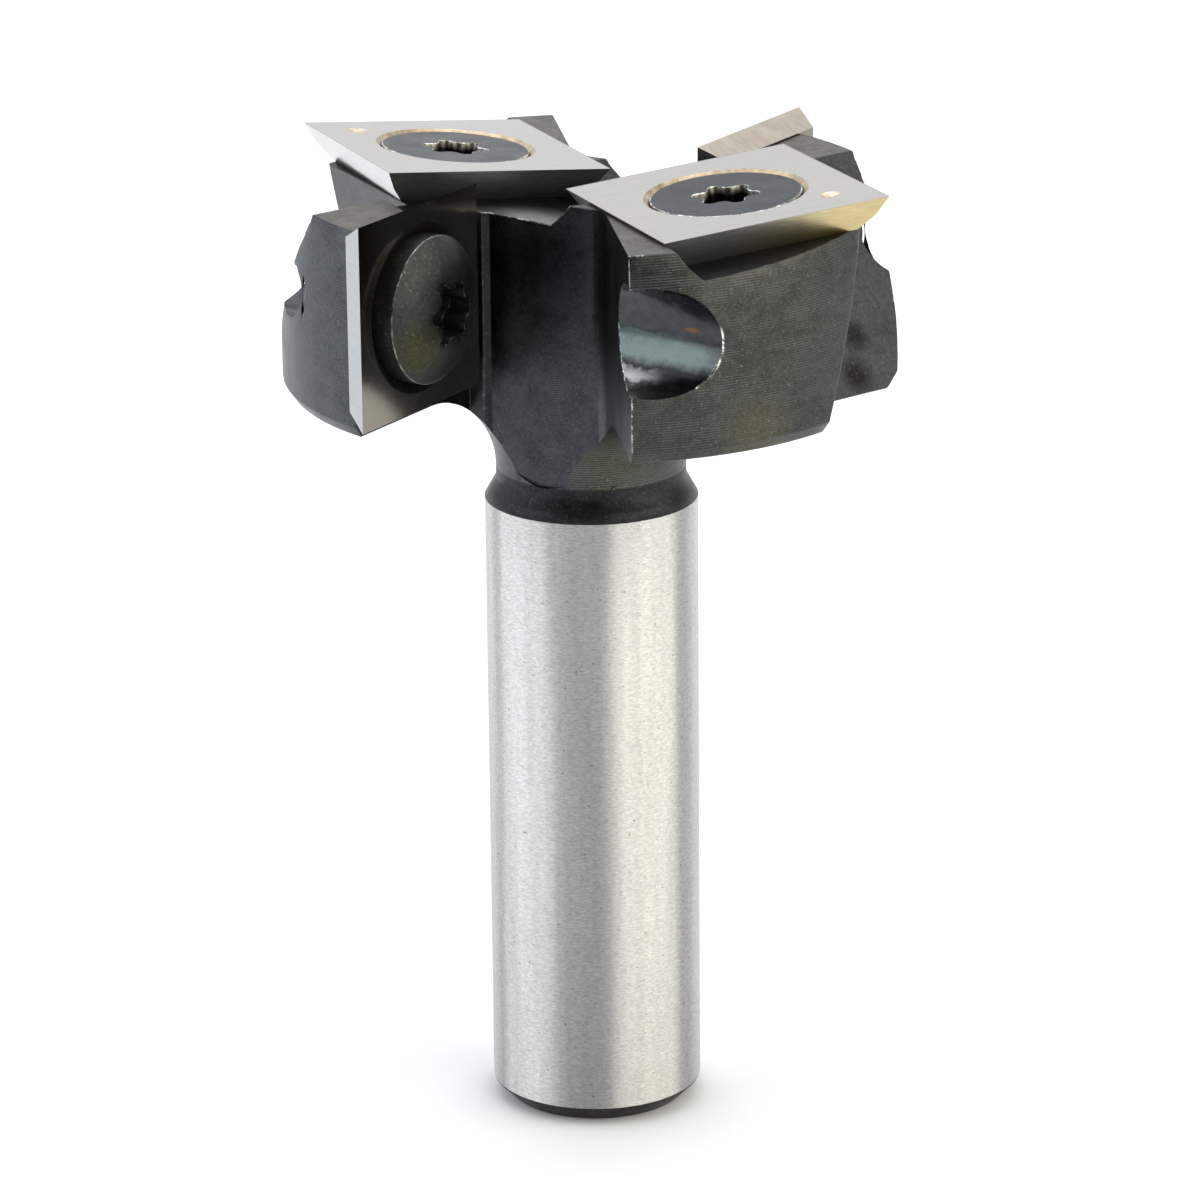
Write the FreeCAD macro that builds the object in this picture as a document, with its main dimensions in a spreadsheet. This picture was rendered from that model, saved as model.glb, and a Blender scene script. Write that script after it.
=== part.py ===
import FreeCAD, Part
import Sketcher
import math
import os

# Surfacing router bit: a turned steel body with a plain round shank, two wings that
# carry square inserts lying flat on the end, and two wings that carry square inserts
# standing upright on the side.  Millimetres.  The origin is the middle of the foot of
# the shank, +Z runs up the shank to the cutting end, and seen from above the bit turns
# anticlockwise.  The first end insert reaches out near +X, the first side insert stands
# near -Y with its face towards +X, and the second of each is half a turn further on.

os.makedirs("parts", exist_ok=True)
doc = FreeCAD.newDocument("surfacing_router_bit")
sheet = doc.addObject("Spreadsheet::Sheet", "Sizes")

DIMENSIONS = [
    # Shank and neck
    ("shank_diameter", 12.7),
    ("shank_length", 38.1),
    ("foot_chamfer", 1.0),
    ("neck_relief", 0.7),
    ("neck_taper_height", 1.25),
    ("neck_land_length", 0.65),
    ("neck_flare_radius", 5.2),
    # Turned head, set by the inserts that it carries
    ("head_wall_setback", 1.1),
    ("head_below_side_insert", 0.9),
    ("head_top_drop", 1.4),
    ("head_top_draft", 0.85),
    ("head_straight_height", 2.6),
    ("head_crown_radius", 72.0),
    ("rim_chamfer_width", 0.5),
    ("rim_chamfer_height", 0.7),
    # End inserts, lying on the end
    ("end_insert_side", 14.0),
    ("end_insert_thickness", 2.0),
    ("end_insert_heading", 34.5),
    ("end_insert_tilt", 5.0),
    ("end_edge_offset", 11.8),
    ("end_edge_lead", 0.4),
    ("end_tip_lead", 0.4),
    ("upper_bevel_depth", 1.1),
    ("upper_bevel_angle", 30.0),
    ("lower_bevel_angle", 42.0),
    ("end_sink_diameter", 9.5),
    ("index_dimple_offset", 4.5),
    ("index_dimple_radius", 1.3),
    ("index_dimple_depth", 0.18),
    # Side inserts, standing on the side
    ("side_insert_side", 12.0),
    ("side_insert_thickness", 1.5),
    ("side_face_offset", 3.25),
    ("side_tip_radius", 19.2),
    ("side_bevel_angle", 31.0),
    ("side_sink_diameter", 9.9),
    ("insert_hole_diameter", 5.0),
    # Screws
    ("thread_diameter", 4.0),
    ("tapping_diameter", 3.3),
    ("thread_clearance", 0.1),
    ("cone_clearance", 0.03),
    ("end_head_margin", 0.7),
    ("end_head_drop", 0.1),
    ("end_screw_length", 9.0),
    ("side_head_margin", 1.3),
    ("side_head_rim", 0.95),
    ("side_dome_height", 1.5),
    ("side_screw_length", 7.0),
    ("recess_outer_diameter", 3.86),
    ("recess_inner_diameter", 2.76),
    ("recess_lobe_radius", 0.42),
    ("recess_depth", 1.7),
    # Seats for the end inserts
    ("seat_edge_gap", 0.04),
    ("seat_front_gap", 0.3),
    ("seat_run_past", 6.8),
    ("end_hole_extra_depth", 1.5),
    # Gullet in front of a side insert
    ("side_seat_inner_gap", 1.17),
    ("gullet_lip_rise", 0.35),
    ("gullet_lip_lead", 0.15),
    ("gullet_corner_x", 4.45),
    ("gullet_wall_angle", 50.5),
    ("gullet_corner_radius", 2.0),
    ("gullet_below_head", 2.7),
    ("mill_runout_radius", 3.7),
    ("mill_runout_x", 0.3),
    ("runout_below_head", 5.25),
    ("access_bore_diameter", 6.2),
    # Gullet in front of an end insert
    ("leading_face_offset", 11.15),
    ("leading_face_turn", 3.0),
    ("leading_face_lean", 18.5),
    ("trailing_face_offset", 3.42),
    ("trailing_face_turn", 18.5),
    ("trailing_face_lean", 36.3),
]


class Size:
    """A length or angle that knows its number and its spreadsheet expression."""

    def __init__(self, value, text):
        self.value = value
        self.text = text

    def __add__(self, other):
        other = as_size(other)
        return Size(self.value + other.value, "(%s + %s)" % (self.text, other.text))

    def __sub__(self, other):
        other = as_size(other)
        return Size(self.value - other.value, "(%s - %s)" % (self.text, other.text))

    def __mul__(self, other):
        other = as_size(other)
        return Size(self.value * other.value, "(%s * %s)" % (self.text, other.text))

    def __truediv__(self, other):
        other = as_size(other)
        return Size(self.value / other.value, "(%s / %s)" % (self.text, other.text))

    def __neg__(self):
        return Size(-self.value, "(0 - %s)" % self.text)


def as_size(number):
    if isinstance(number, Size):
        return number
    return Size(float(number), "(%.6f)" % number)


def sin_of(angle):
    return Size(math.sin(math.radians(angle.value)), "sin(%s)" % angle.text)


def cos_of(angle):
    return Size(math.cos(math.radians(angle.value)), "cos(%s)" % angle.text)


def tan_of(angle):
    return Size(math.tan(math.radians(angle.value)), "tan(%s)" % angle.text)


def root_of(area):
    return Size(math.sqrt(area.value), "sqrt(%s)" % area.text)


S = {}
for row, (alias, number) in enumerate(DIMENSIONS, start=1):
    sheet.set("A%d" % row, alias)
    sheet.set("B%d" % row, str(number))
    sheet.setAlias("B%d" % row, alias)
    S[alias] = Size(float(number), "Sizes.%s" % alias)
doc.recompute()

ZERO = as_size(0)


def derived(alias, size):
    """Writes a worked-out size into the sheet under its own name."""
    row = len(S) + 1
    sheet.set("A%d" % row, alias)
    sheet.set("B%d" % row, "=" + size.text.replace("Sizes.", ""))
    sheet.setAlias("B%d" % row, alias)
    S[alias] = Size(size.value, "Sizes.%s" % alias)
    return S[alias]


def placement_text(x, y, z, yaw, pitch, roll):
    place = "vector(%s; %s; %s)" % (x.text, y.text, z.text)
    turn = "rotation(%s; %s; %s)" % (yaw.text, pitch.text, roll.text)
    return "placement(%s; %s)" % (place, turn)


def origin_feature(body, role):
    for feature in body.Origin.OriginFeatures:
        if feature.Role == role:
            return feature
    raise ValueError("no origin feature " + role)


def new_sketch(body, name, role, offset=None):
    """A sketch on one of the body's own origin planes, moved by an offset expression."""
    sketch = body.newObject("Sketcher::SketchObject", name)
    sketch.AttachmentSupport = (origin_feature(body, role), [""])
    sketch.MapMode = "FlatFace"
    if offset is not None:
        sketch.setExpression("AttachmentOffset", offset)
    return sketch


def bind(target, path, size):
    target.setExpression(path, size.text)


def pin_point(sketch, label, curve, end, x, y):
    """Ties one point of a curve to its coordinates in the sketch."""
    for axis, size in (("X", x), ("Y", y)):
        if size is ZERO:
            line = -2 if axis == "X" else -1
            sketch.addConstraint(Sketcher.Constraint("PointOnObject", curve, end, line))
            continue
        rule = Sketcher.Constraint("Distance" + axis, -1, 1, curve, end, size.value)
        index = sketch.addConstraint(rule)
        sketch.renameConstraint(index, label + axis.lower())
        sketch.setExpression("Constraints." + label + axis.lower(), size.text)


def arc_between(start, stop, radius, bulge):
    """The shorter arc between two points; bulge is +1 when it bows to the left of the way
    from start to stop, and -1 when it bows to the right."""
    chord = stop - start
    half = chord.Length / 2.0
    reach = math.sqrt(max(radius * radius - half * half, 0.0))
    left = FreeCAD.Vector(-chord.y, chord.x, 0).normalize()
    centre = (start + stop) * 0.5 - left * (reach * bulge)
    first, last = (stop, start) if bulge > 0 else (start, stop)
    from_angle = math.atan2(first.y - centre.y, first.x - centre.x)
    to_angle = math.atan2(last.y - centre.y, last.x - centre.x)
    if to_angle < from_angle:
        to_angle += 2.0 * math.pi
    circle = Part.Circle(centre, FreeCAD.Vector(0, 0, 1), radius)
    return Part.ArcOfCircle(circle, from_angle, to_angle)


def draw_outline(sketch, corners, arcs=None):
    """A closed outline through the corners.  arcs: side number -> (radius, bulge)."""
    arcs = arcs or {}
    count = len(corners)
    points = [FreeCAD.Vector(x.value, y.value, 0) for x, y in corners]
    head = [1] * count
    tail = [2] * count
    for side in range(count):
        start = points[side]
        stop = points[(side + 1) % count]
        if side not in arcs:
            sketch.addGeometry(Part.LineSegment(start, stop), False)
            continue
        radius, bulge = arcs[side]
        sketch.addGeometry(arc_between(start, stop, radius.value, bulge), False)
        if bulge > 0:
            head[side], tail[side] = 2, 1
    for side in range(count):
        after = (side + 1) % count
        link = Sketcher.Constraint("Coincident", side, tail[side], after, head[after])
        sketch.addConstraint(link)
    for side, (x, y) in enumerate(corners):
        pin_point(sketch, "p%d" % side, side, head[side], x, y)
    for side, (radius, bulge) in arcs.items():
        index = sketch.addConstraint(Sketcher.Constraint("Radius", side, radius.value))
        sketch.renameConstraint(index, "r%d" % side)
        sketch.setExpression("Constraints.r%d" % side, radius.text)


def draw_circle(sketch, x, y, diameter):
    centre = FreeCAD.Vector(x.value, y.value, 0)
    normal = FreeCAD.Vector(0, 0, 1)
    sketch.addGeometry(Part.Circle(centre, normal, diameter.value / 2.0), False)
    pin_point(sketch, "centre_", 0, 3, x, y)
    index = sketch.addConstraint(Sketcher.Constraint("Diameter", 0, diameter.value))
    sketch.renameConstraint(index, "diameter")
    sketch.setExpression("Constraints.diameter", diameter.text)


def extrude(body, kind, name, sketch, length, reverse=False):
    feature = body.newObject("PartDesign::" + kind, name)
    feature.Profile = sketch
    feature.Reversed = reverse
    bind(feature, "Length", length)
    sketch.Visibility = False
    return feature


def bevelled_block(body, kind, name, frame, sides, insets, depth):
    """A block with sloping sides, going down from its larger face.

    sides are left, right, front and back on the larger face; insets are how far each
    of them moves inward over the depth."""
    feature = body.newObject("PartDesign::%sWedge" % kind, name)
    left, right, front, back = sides
    in_left, in_right, in_front, in_back = insets
    bind(feature, "Ymin", ZERO)
    bind(feature, "Ymax", depth)
    bind(feature, "Xmin", left)
    bind(feature, "Xmax", right)
    bind(feature, "Zmin", front)
    bind(feature, "Zmax", back)
    bind(feature, "X2min", left + in_left)
    bind(feature, "X2max", right - in_right)
    bind(feature, "Z2min", front + in_front)
    bind(feature, "Z2max", back - in_back)
    feature.setExpression("Placement", frame)
    return feature


def spin(body, kind, name, sketch):
    feature = body.newObject("PartDesign::" + kind, name)
    feature.Profile = sketch
    feature.ReferenceAxis = (sketch, ["V_Axis"])
    feature.Angle = 360.0
    sketch.Visibility = False
    return feature


def ring_pattern(body, name, features, copies):
    pattern = body.newObject("PartDesign::PolarPattern", name)
    pattern.Originals = features
    pattern.Axis = (origin_feature(body, "Z_Axis"), [""])
    pattern.Angle = 360.0
    pattern.Occurrences = copies
    body.Tip = pattern
    return pattern


def new_body(name):
    body = doc.addObject("PartDesign::Body", name)
    body.Label = name
    return body


# Values that several pieces share
QUARTER_TURN = as_size(90)
HALF_TURN = as_size(180)
heading = S["end_insert_heading"]
tilt = S["end_insert_tilt"]
half_end = S["end_insert_side"] / 2
half_side = S["side_insert_side"] / 2

# The head stands on the neck, and the inserts stand on the head.
head_start = derived("head_start_height", S["shank_length"] + S["neck_taper_height"]
                     + S["neck_land_length"] + S["neck_flare_radius"])
side_insert_bottom = derived("side_insert_bottom", head_start + S["head_below_side_insert"])
end_edge_height = derived("end_edge_height", side_insert_bottom + S["side_insert_side"]
                          + S["end_edge_lead"])
head_top = derived("head_top_height", end_edge_height - S["head_top_drop"])
head_radius = derived("head_radius", S["side_tip_radius"] - S["head_wall_setback"])
head_height = head_top - head_start

# Bevels, tips and screw places of the inserts.
upper_inset = derived("upper_inset", S["upper_bevel_depth"] * tan_of(S["upper_bevel_angle"]))
lower_bevel_depth = S["end_insert_thickness"] - S["upper_bevel_depth"]
lower_inset = derived("lower_inset", lower_bevel_depth * tan_of(S["lower_bevel_angle"]))
end_tip_radius = S["side_tip_radius"] + S["end_tip_lead"]
end_reach = derived("end_reach", root_of(end_tip_radius * end_tip_radius
                                         - S["end_edge_offset"] * S["end_edge_offset"]))
tip_y = derived("side_tip_y", root_of(S["side_tip_radius"] * S["side_tip_radius"]
                                      - S["side_face_offset"] * S["side_face_offset"]))
side_screw_y = derived("side_screw_y", tip_y - half_side)
side_screw_z = derived("side_screw_z", side_insert_bottom + half_side)
side_seat_x = S["side_face_offset"] + S["side_insert_thickness"]
side_seat_inner = derived("side_seat_inner", tip_y - S["side_insert_side"]
                          - S["side_seat_inner_gap"])
gullet_floor = derived("gullet_floor", side_seat_inner - S["gullet_lip_rise"])
thread_hole = S["thread_diameter"] + S["thread_clearance"]
doc.recompute()


def end_centre(turn):
    """Middle of an end insert's upper face; turn is 1, or -1 for the far insert."""
    outward = end_reach - half_end
    forward = S["end_edge_offset"] - half_end * cos_of(tilt)
    x = (cos_of(heading) * outward + sin_of(heading) * forward) * turn
    y = (cos_of(heading) * forward - sin_of(heading) * outward) * turn
    z = end_edge_height - half_end * sin_of(tilt)
    return x, y, z


def end_frame(turn, depth=ZERO, roll=ZERO):
    """Placement of an end insert, or of a level parallel to it further down."""
    x, y, z = end_centre(turn)
    x = x + sin_of(heading) * sin_of(tilt) * depth * turn
    y = y + cos_of(heading) * sin_of(tilt) * depth * turn
    z = z - cos_of(tilt) * depth
    yaw = -heading if turn > 0 else HALF_TURN - heading
    return placement_text(x, y, z, yaw, ZERO, tilt + roll)


def side_frame(turn):
    """Placement of a side insert, with its own Z square to its face."""
    yaw = QUARTER_TURN if turn > 0 else QUARTER_TURN + HALF_TURN
    x = -S["side_face_offset"] * turn
    y = -side_screw_y * turn
    return placement_text(x, y, side_screw_z, yaw, ZERO, QUARTER_TURN)


def turned_blank(body):
    """Shank, relieved neck, concave flare and domed head in one turning."""
    shank = S["shank_diameter"] / 2
    neck = shank - S["neck_relief"]
    flare = S["neck_flare_radius"]
    rim_top = head_start + S["rim_chamfer_height"]
    corners = [
        (ZERO, ZERO),
        (shank - S["foot_chamfer"], ZERO),
        (shank, S["foot_chamfer"]),
        (shank, S["shank_length"]),
        (neck, S["shank_length"] + S["neck_taper_height"]),
        (neck, head_start - flare),
        (neck + flare, head_start),
        (head_radius - S["rim_chamfer_width"], head_start),
        (head_radius, rim_top),
        (head_radius, rim_top + S["head_straight_height"]),
        (head_radius - S["head_top_draft"], head_top),
        (ZERO, head_top),
    ]
    arcs = {5: (flare, 1), 9: (S["head_crown_radius"], -1)}
    sketch = new_sketch(body, "blank_profile", "XZ_Plane")
    draw_outline(sketch, corners, arcs)
    return spin(body, "Revolution", "turned_blank", sketch)


def side_gullet(body):
    """Upright cut in front of a side insert: its seat, a lip, the floor and the wall."""
    above = head_top + 1
    floor = -gullet_floor
    seat = -side_seat_inner
    lip = -S["side_face_offset"] - S["gullet_lip_lead"]
    angle = S["gullet_wall_angle"]
    fillet = S["gullet_corner_radius"]
    tangent = fillet * tan_of(angle / 2)
    run = head_radius * 2
    corners = [
        (-side_seat_x, -run),
        (-side_seat_x, seat),
        (lip - S["gullet_lip_rise"], seat),
        (lip, floor),
        (S["gullet_corner_x"] - tangent, floor),
        (S["gullet_corner_x"] + tangent * cos_of(angle), floor - tangent * sin_of(angle)),
        (S["gullet_corner_x"] + run * cos_of(angle), floor - run * sin_of(angle)),
    ]
    offset = placement_text(ZERO, ZERO, above, ZERO, ZERO, ZERO)
    sketch = new_sketch(body, "side_gullet_outline", "XY_Plane", offset)
    draw_outline(sketch, corners, {4: (fillet, 1)})
    depth = above - head_start + S["gullet_below_head"]
    cut = extrude(body, "Pocket", "side_gullet", sketch, depth)
    floor_offset = placement_text(ZERO, ZERO, gullet_floor, ZERO, ZERO, ZERO)
    runout = new_sketch(body, "mill_runout_circle", "XZ_Plane", floor_offset)
    centre_z = head_start - S["runout_below_head"] + S["mill_runout_radius"]
    draw_circle(runout, S["mill_runout_x"], centre_z, S["mill_runout_radius"] * 2)
    scoop = extrude(body, "Pocket", "mill_runout", runout, S["shank_diameter"], True)
    return [cut, scoop]


def end_seat(body, number, turn):
    """Tilted seat for an end insert, with walls that follow the insert's two bevels."""
    back = half_end + S["seat_edge_gap"]
    front = half_end + S["seat_front_gap"]
    inner = half_end + S["seat_run_past"]
    outer = head_radius
    bevelled_block(body, "Subtractive", "end_seat_upper_%d" % number,
                   end_frame(turn, ZERO, -QUARTER_TURN),
                   (-inner, outer, -back, front), (upper_inset, ZERO, upper_inset, ZERO),
                   S["upper_bevel_depth"])
    bevelled_block(body, "Subtractive", "end_seat_lower_%d" % number,
                   end_frame(turn, S["upper_bevel_depth"], -QUARTER_TURN),
                   (upper_inset - inner, outer, upper_inset - back, front),
                   (lower_inset, ZERO, lower_inset, ZERO), lower_bevel_depth)


def end_gullet(body):
    """Slanting V between the face ahead of an end insert and the back of a side wing.

    The V is drawn level, at the height of the cutting edge, and cut down along the line
    where its two leaning faces meet."""
    front = QUARTER_TURN - heading + S["leading_face_turn"]
    back = -S["trailing_face_turn"]
    spread = sin_of(back - front)
    near = S["leading_face_offset"]
    far = S["trailing_face_offset"]
    x = (near * sin_of(back) - far * sin_of(front)) / spread
    y = (far * cos_of(front) - near * cos_of(back)) / spread
    reach = head_radius * 2
    front_x = sin_of(front) * reach
    front_y = -cos_of(front) * reach
    back_x = -sin_of(back) * reach
    back_y = cos_of(back) * reach
    level = placement_text(ZERO, ZERO, end_edge_height, ZERO, ZERO, ZERO)
    sketch = new_sketch(body, "end_gullet_outline", "XY_Plane", level)
    draw_outline(sketch, [
        (x, y),
        (x + front_x, y + front_y),
        (x + front_x + back_x, y + front_y + back_y),
        (x + back_x, y + back_y),
    ])
    cut = extrude(body, "Pocket", "end_gullet", sketch, head_height * 2)
    under = tan_of(S["leading_face_lean"])
    over = tan_of(S["trailing_face_lean"])
    run_x = sin_of(front) * over + sin_of(back) * under
    run_y = -(cos_of(front) * over + cos_of(back) * under)
    cut.UseCustomVector = True
    cut.setExpression("Direction", "vector(%s; %s; %s)" % (run_x.text, run_y.text, spread.text))
    return cut


def drilled(body, name, role, x, y, diameter, length, reverse=False, offset=None):
    sketch = new_sketch(body, name + "_circle", role, offset)
    draw_circle(sketch, x, y, diameter)
    return extrude(body, "Pocket", name, sketch, length, reverse)


def holes(body):
    """Screw holes of both inserts and the bore that lets a drill reach the side hole."""
    y = -side_screw_y
    z = side_screw_z
    through = head_radius * 2
    thread_end = S["side_face_offset"] + S["side_screw_length"] + S["cone_clearance"]
    end_depth = S["end_screw_length"] + S["end_hole_extra_depth"]
    return [
        drilled(body, "side_tapping_hole", "YZ_Plane", y, z, S["tapping_diameter"], through),
        drilled(body, "side_thread_hole", "YZ_Plane", y, z, thread_hole, thread_end),
        drilled(body, "access_bore", "YZ_Plane", y, z, S["access_bore_diameter"], through, True),
        drilled(body, "end_thread_hole", "XY_Plane", ZERO, ZERO, thread_hole, end_depth,
                False, end_frame(1)),
    ]


def make_cutter_body():
    body = new_body("cutter_body")
    turned_blank(body)
    ring_pattern(body, "both_side_gullets", side_gullet(body), 2)
    for number, turn in ((1, 1), (2, -1)):
        end_seat(body, number, turn)
    ring_pattern(body, "both_end_gullets", [end_gullet(body)], 2)
    ring_pattern(body, "holes_both_sides", holes(body), 2)
    return body


def sink(body, top_diameter, thickness):
    """Conical recess for a screw head, through the whole insert."""
    top = top_diameter / 2
    hole = S["insert_hole_diameter"] / 2
    sketch = new_sketch(body, "sink_profile", "XZ_Plane")
    draw_outline(sketch, [(ZERO, ZERO), (top, ZERO), (hole, -thickness), (ZERO, -thickness)])
    return spin(body, "Groove", "screw_sink", sketch)


def make_end_insert(name, turn):
    body = new_body(name)
    top = placement_text(ZERO, ZERO, ZERO, ZERO, ZERO, -QUARTER_TURN)
    bevelled_block(body, "Additive", "upper_bevel", top, (-half_end, half_end) * 2,
                   (upper_inset,) * 4, S["upper_bevel_depth"])
    level = placement_text(ZERO, ZERO, -S["upper_bevel_depth"], ZERO, ZERO, -QUARTER_TURN)
    inner = half_end - upper_inset
    bevelled_block(body, "Additive", "lower_bevel", level, (-inner, inner) * 2,
                   (lower_inset,) * 4, lower_bevel_depth)
    sink(body, S["end_sink_diameter"], S["end_insert_thickness"])
    dimple = body.newObject("PartDesign::SubtractiveSphere", "index_dimple")
    bind(dimple, "Radius", S["index_dimple_radius"])
    spot = S["index_dimple_offset"]
    lift = S["index_dimple_radius"] - S["index_dimple_depth"]
    dimple.setExpression("Placement", placement_text(spot, spot, lift, ZERO, ZERO, ZERO))
    body.setExpression("Placement", end_frame(turn))
    return body


def make_side_insert(name, turn):
    body = new_body(name)
    face = placement_text(ZERO, ZERO, ZERO, ZERO, ZERO, -QUARTER_TURN)
    inset = S["side_insert_thickness"] * tan_of(S["side_bevel_angle"])
    bevelled_block(body, "Additive", "bevelled_plate", face, (-half_side, half_side) * 2,
                   (inset,) * 4, S["side_insert_thickness"])
    sink(body, S["side_sink_diameter"], S["side_insert_thickness"])
    body.setExpression("Placement", side_frame(turn))
    return body


def cone_radius(sink_diameter, thickness, depth):
    """Radius of the head's cone at a depth below the insert's face."""
    top = sink_diameter / 2
    hole = S["insert_hole_diameter"] / 2
    return top - (top - hole) * depth / thickness - S["cone_clearance"]


def cone_depth(sink_diameter, thickness, radius):
    """Depth at which the head's cone has a given radius."""
    top = sink_diameter / 2
    hole = S["insert_hole_diameter"] / 2
    return (top - S["cone_clearance"] - radius) * thickness / (top - hole)


def six_lobe_recess(body, top):
    """One sixth of a six-lobed socket, cut and then repeated round the screw's axis."""
    outer = S["recess_outer_diameter"] / 2
    inner = S["recess_inner_diameter"] / 2
    lobe = S["recess_lobe_radius"]
    middle = outer - lobe
    slant_x = cos_of(as_size(30))
    slant_y = sin_of(as_size(30))
    # A ridge between two lobes touches both of them, and that gives its radius.
    span = middle * slant_x * 2
    ridge = ((middle * middle + inner * inner - span * inner - lobe * lobe)
             / (span + lobe * 2 - inner * 2))
    share = lobe / (lobe + ridge)
    touch_x = middle + ((inner + ridge) * slant_x - middle) * share
    touch_y = (inner + ridge) * slant_y * share
    ridge_x = inner * slant_x
    ridge_y = inner * slant_y
    offset = placement_text(ZERO, ZERO, top, ZERO, ZERO, ZERO)
    sketch = new_sketch(body, "recess_sixth", "XY_Plane", offset)
    corners = [
        (ZERO, ZERO),
        (ridge_x, -ridge_y),
        (touch_x, -touch_y),
        (touch_x, touch_y),
        (ridge_x, ridge_y),
    ]
    arcs = {1: (ridge, 1), 2: (lobe, -1), 3: (ridge, 1)}
    draw_outline(sketch, corners, arcs)
    cut = extrude(body, "Pocket", "recess_lobe", sketch, S["recess_depth"])
    return ring_pattern(body, "recess_six_lobes", [cut], 6)


def make_screw(name, domed, turn):
    """A screw in its insert's frame: Z = 0 is the insert's face, the thread goes down."""
    body = new_body(name)
    sink_diameter = S["side_sink_diameter"] if domed else S["end_sink_diameter"]
    thickness = S["side_insert_thickness"] if domed else S["end_insert_thickness"]
    margin = S["side_head_margin"] if domed else S["end_head_margin"]
    head = (sink_diameter - margin) / 2
    length = S["side_screw_length"] if domed else S["end_screw_length"]
    rim_top = S["side_head_rim"] if domed else -S["end_head_drop"]
    thread = S["thread_diameter"] / 2
    under = -cone_depth(sink_diameter, thickness, head)
    foot = S["thread_diameter"] / 8
    corners = [(ZERO, -length), (thread - foot, -length), (thread, foot - length),
               (thread, -thickness),
               (cone_radius(sink_diameter, thickness, thickness), -thickness),
               (head, under), (head, rim_top)]
    arcs = {}
    top = rim_top
    if domed:
        top = rim_top + S["side_dome_height"]
        rise = S["side_dome_height"]
        ball = (head * head + rise * rise) / (rise * 2)
        arcs[len(corners) - 1] = (ball, -1)
    corners.append((ZERO, top))
    sketch = new_sketch(body, "screw_profile", "XZ_Plane")
    draw_outline(sketch, corners, arcs)
    spin(body, "Revolution", "screw_turning", sketch)
    six_lobe_recess(body, top)
    body.setExpression("Placement", side_frame(turn) if domed else end_frame(turn))
    return body


pieces = [make_cutter_body()]
for number, turn in ((1, 1), (2, -1)):
    pieces.append(make_end_insert("end_insert_%d" % number, turn))
    pieces.append(make_screw("end_screw_%d" % number, False, turn))
    pieces.append(make_side_insert("side_insert_%d" % number, turn))
    pieces.append(make_screw("side_screw_%d" % number, True, turn))
doc.recompute()


def check_document():
    for item in doc.Objects:
        for state in item.State:
            if "Invalid" in state or "Error" in state:
                raise RuntimeError("%s: %s" % (item.Label, state))
    for piece in pieces:
        shape = piece.Shape
        if shape.isNull() or not shape.isValid() or len(shape.Solids) != 1:
            raise RuntimeError("bad shape in " + piece.Label)


check_document()
for piece in pieces:
    piece.Shape.exportStep("parts/%s.step" % piece.Label)
    print(piece.Label, round(piece.Shape.Volume, 1), piece.Shape.optimalBoundingBox())
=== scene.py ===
"""The looks of a four-wing surfacing router bit: a blackened steel head on a ground shank,
with two square carbide inserts that plane and two that cut at the side."""
import math
import bmesh
import bpy
from mathutils import Matrix, Vector
from mathutils.geometry import intersect_point_line


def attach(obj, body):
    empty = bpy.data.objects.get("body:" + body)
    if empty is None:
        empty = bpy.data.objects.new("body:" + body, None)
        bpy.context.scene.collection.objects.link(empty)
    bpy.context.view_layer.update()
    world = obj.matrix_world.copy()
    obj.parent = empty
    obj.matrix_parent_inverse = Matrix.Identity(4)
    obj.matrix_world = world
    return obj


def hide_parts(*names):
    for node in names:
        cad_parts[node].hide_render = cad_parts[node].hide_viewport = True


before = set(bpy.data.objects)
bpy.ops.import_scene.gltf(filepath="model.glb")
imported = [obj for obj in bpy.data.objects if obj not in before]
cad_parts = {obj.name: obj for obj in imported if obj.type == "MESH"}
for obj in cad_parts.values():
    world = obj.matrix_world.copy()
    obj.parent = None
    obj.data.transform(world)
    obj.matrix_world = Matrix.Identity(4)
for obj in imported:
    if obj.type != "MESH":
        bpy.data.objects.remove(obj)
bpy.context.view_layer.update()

MM = 0.001
ORIGIN = (0, 0, 0)
NO_TURN = (0, 0, 0)

# The shank and the head, in millimetres
SHANK_BOTTOM, SHANK_TOP = 1.0, 38.1
NECK_BAND_TOP = 39.95
NECK_STRIP_RADIUS = 8.0
HEAD_CHAMFER_TOP, HEAD_TOP = 46.2, 57.1
HEAD_WALL_RADIUS = 16.6

# A gullet, in the half of the head where Y is negative, in millimetres
GULLET_FLOOR = 5.4
GULLET_MIDDLE = 0.5
GULLET_LIP_LEFT, GULLET_LIP_RIGHT = -4.5, 2.4
GULLET_LIP_HEIGHT = 54.8

# The heading of that gullet's leading corner, and a direction square to its leading wall
LEADING_EDGE_HEADING = math.radians(-50.4)
LEADING_WALL = Vector((-0.772, -0.636, 0.0))

# The drilled opening of that half, along X, and its two mouths, in millimetres
BORE_RADIUS = 3.1
BORE_OFFSET = 12.92
BORE_HEIGHT = 52.1
BORE_INNER_MOUTH, BORE_OUTER_MOUTH = 10.2, 13.5

# The inserts and their screws, in millimetres and radians
END_CENTRE = Vector((9.862, -0.922, 57.890))
END_HEADING = math.radians(34.5)
END_TILT = math.radians(5)
END_INSERT_REACH = 7.0
END_SINK_RADIUS = 4.85
DIMPLE_OFFSET = 4.5
DIMPLE_REACH = 0.8
SIDE_SINK_RADIUS = 5.05
SOCKET_REACH = 2.1
SOCKET_FLOOR, SOCKET_MOUTH = -1.7, -0.1
SOCKET_LIP_REACH = 2.5
RIM_START = 3.5

# Corners of the CAD mesh this close, in millimetres, and faces this level with each other are one
SAME_CORNER = 0.002
SAME_PLANE = math.radians(0.4)

# Rounded edges, in millimetres; their corners that lie closer than FOLD are one corner
BODY_ROUNDING = 0.08
RIM_ROUNDING = 0.08
SOCKET_ROUNDING = 0.05
DOME_ROUNDING = 0.05
ROUNDING_STEPS = 2
FOLD = 0.0005

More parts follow.
